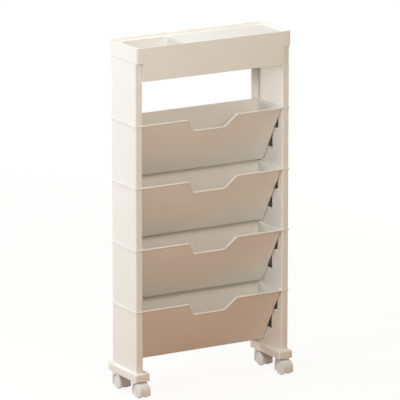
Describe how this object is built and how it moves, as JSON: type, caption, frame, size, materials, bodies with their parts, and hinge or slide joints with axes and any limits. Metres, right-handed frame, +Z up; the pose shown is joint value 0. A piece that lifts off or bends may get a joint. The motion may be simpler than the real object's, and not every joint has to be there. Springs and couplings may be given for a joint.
{
  "type": "rolling book rack",
  "caption": "Slim rolling book rack of cream plastic: stacked side columns carry slanted pockets with notched fronts, a divided tray on top and twin-wheel swivel casters below.",
  "frame": {"origin": "on the floor, under the middle of the rack's bounding box", "axes": "+X to the right seen from the front, +Y to the back, +Z up; the pockets open to the front and upwards"},
  "size_m": [0.4346, 0.1494, 0.847],
  "materials": {
    "cream_plastic": "satin moulded polypropylene, warm off-white",
    "caster_plastic": "smooth light grey-white plastic",
    "zinc_steel": "zinc-plated steel"
  },
  "bodies": {
    "rack": {"top_tray": "cream_plastic", "side_panel_left_1": "cream_plastic", "side_panel_left_2": "cream_plastic", "side_panel_left_3": "cream_plastic", "side_panel_left_4": "cream_plastic", "side_panel_left_5": "cream_plastic", "side_panel_right_1": "cream_plastic", "side_panel_right_2": "cream_plastic", "side_panel_right_3": "cream_plastic", "side_panel_right_4": "cream_plastic", "side_panel_right_5": "cream_plastic", "pocket_1": "cream_plastic", "pocket_2": "cream_plastic", "pocket_3": "cream_plastic", "pocket_4": "cream_plastic", "foot_left": "cream_plastic", "foot_right": "cream_plastic", "caster_stem_front_left": "zinc_steel", "caster_stem_rear_left": "zinc_steel", "caster_stem_front_right": "zinc_steel", "caster_stem_rear_right": "zinc_steel"},
    "caster_front_left": {"caster_hood_front_left": "caster_plastic", "caster_axle_front_left": "zinc_steel"},
    "wheel_a_front_left": {"caster_wheel_a_front_left": "caster_plastic"},
    "wheel_b_front_left": {"caster_wheel_b_front_left": "caster_plastic"},
    "caster_rear_left": {"caster_hood_rear_left": "caster_plastic", "caster_axle_rear_left": "zinc_steel"},
    "wheel_a_rear_left": {"caster_wheel_a_rear_left": "caster_plastic"},
    "wheel_b_rear_left": {"caster_wheel_b_rear_left": "caster_plastic"},
    "caster_front_right": {"caster_hood_front_right": "caster_plastic", "caster_axle_front_right": "zinc_steel"},
    "wheel_a_front_right": {"caster_wheel_a_front_right": "caster_plastic"},
    "wheel_b_front_right": {"caster_wheel_b_front_right": "caster_plastic"},
    "caster_rear_right": {"caster_hood_rear_right": "caster_plastic", "caster_axle_rear_right": "zinc_steel"},
    "wheel_a_rear_right": {"caster_wheel_a_rear_right": "caster_plastic"},
    "wheel_b_rear_right": {"caster_wheel_b_rear_right": "caster_plastic"}
  },
  "joints": [
    {"name": "swivel_front_left", "type": "hinge", "parent": "rack", "child": "caster_front_left", "pos_m": [-0.19795, -0.04175, 0.03], "axis": [0, 0, 1], "continuous": true},
    {"name": "spin_a_front_left", "type": "hinge", "parent": "caster_front_left", "child": "wheel_a_front_left", "pos_m": [-0.19795, -0.05475, 0.017], "axis": [1, 0, 0], "continuous": true},
    {"name": "spin_b_front_left", "type": "hinge", "parent": "caster_front_left", "child": "wheel_b_front_left", "pos_m": [-0.19795, -0.05475, 0.017], "axis": [1, 0, 0], "continuous": true},
    {"name": "swivel_rear_left", "type": "hinge", "parent": "rack", "child": "caster_rear_left", "pos_m": [-0.19795, 0.05325, 0.03], "axis": [0, 0, 1], "continuous": true},
    {"name": "spin_a_rear_left", "type": "hinge", "parent": "caster_rear_left", "child": "wheel_a_rear_left", "pos_m": [-0.19795, 0.04025, 0.017], "axis": [1, 0, 0], "continuous": true},
    {"name": "spin_b_rear_left", "type": "hinge", "parent": "caster_rear_left", "child": "wheel_b_rear_left", "pos_m": [-0.19795, 0.04025, 0.017], "axis": [1, 0, 0], "continuous": true},
    {"name": "swivel_front_right", "type": "hinge", "parent": "rack", "child": "caster_front_right", "pos_m": [0.19795, -0.04175, 0.03], "axis": [0, 0, 1], "continuous": true},
    {"name": "spin_a_front_right", "type": "hinge", "parent": "caster_front_right", "child": "wheel_a_front_right", "pos_m": [0.19795, -0.05475, 0.017], "axis": [1, 0, 0], "continuous": true},
    {"name": "spin_b_front_right", "type": "hinge", "parent": "caster_front_right", "child": "wheel_b_front_right", "pos_m": [0.19795, -0.05475, 0.017], "axis": [1, 0, 0], "continuous": true},
    {"name": "swivel_rear_right", "type": "hinge", "parent": "rack", "child": "caster_rear_right", "pos_m": [0.19795, 0.05325, 0.03], "axis": [0, 0, 1], "continuous": true},
    {"name": "spin_a_rear_right", "type": "hinge", "parent": "caster_rear_right", "child": "wheel_a_rear_right", "pos_m": [0.19795, 0.04025, 0.017], "axis": [1, 0, 0], "continuous": true},
    {"name": "spin_b_rear_right", "type": "hinge", "parent": "caster_rear_right", "child": "wheel_b_rear_right", "pos_m": [0.19795, 0.04025, 0.017], "axis": [1, 0, 0], "continuous": true}
  ]
}
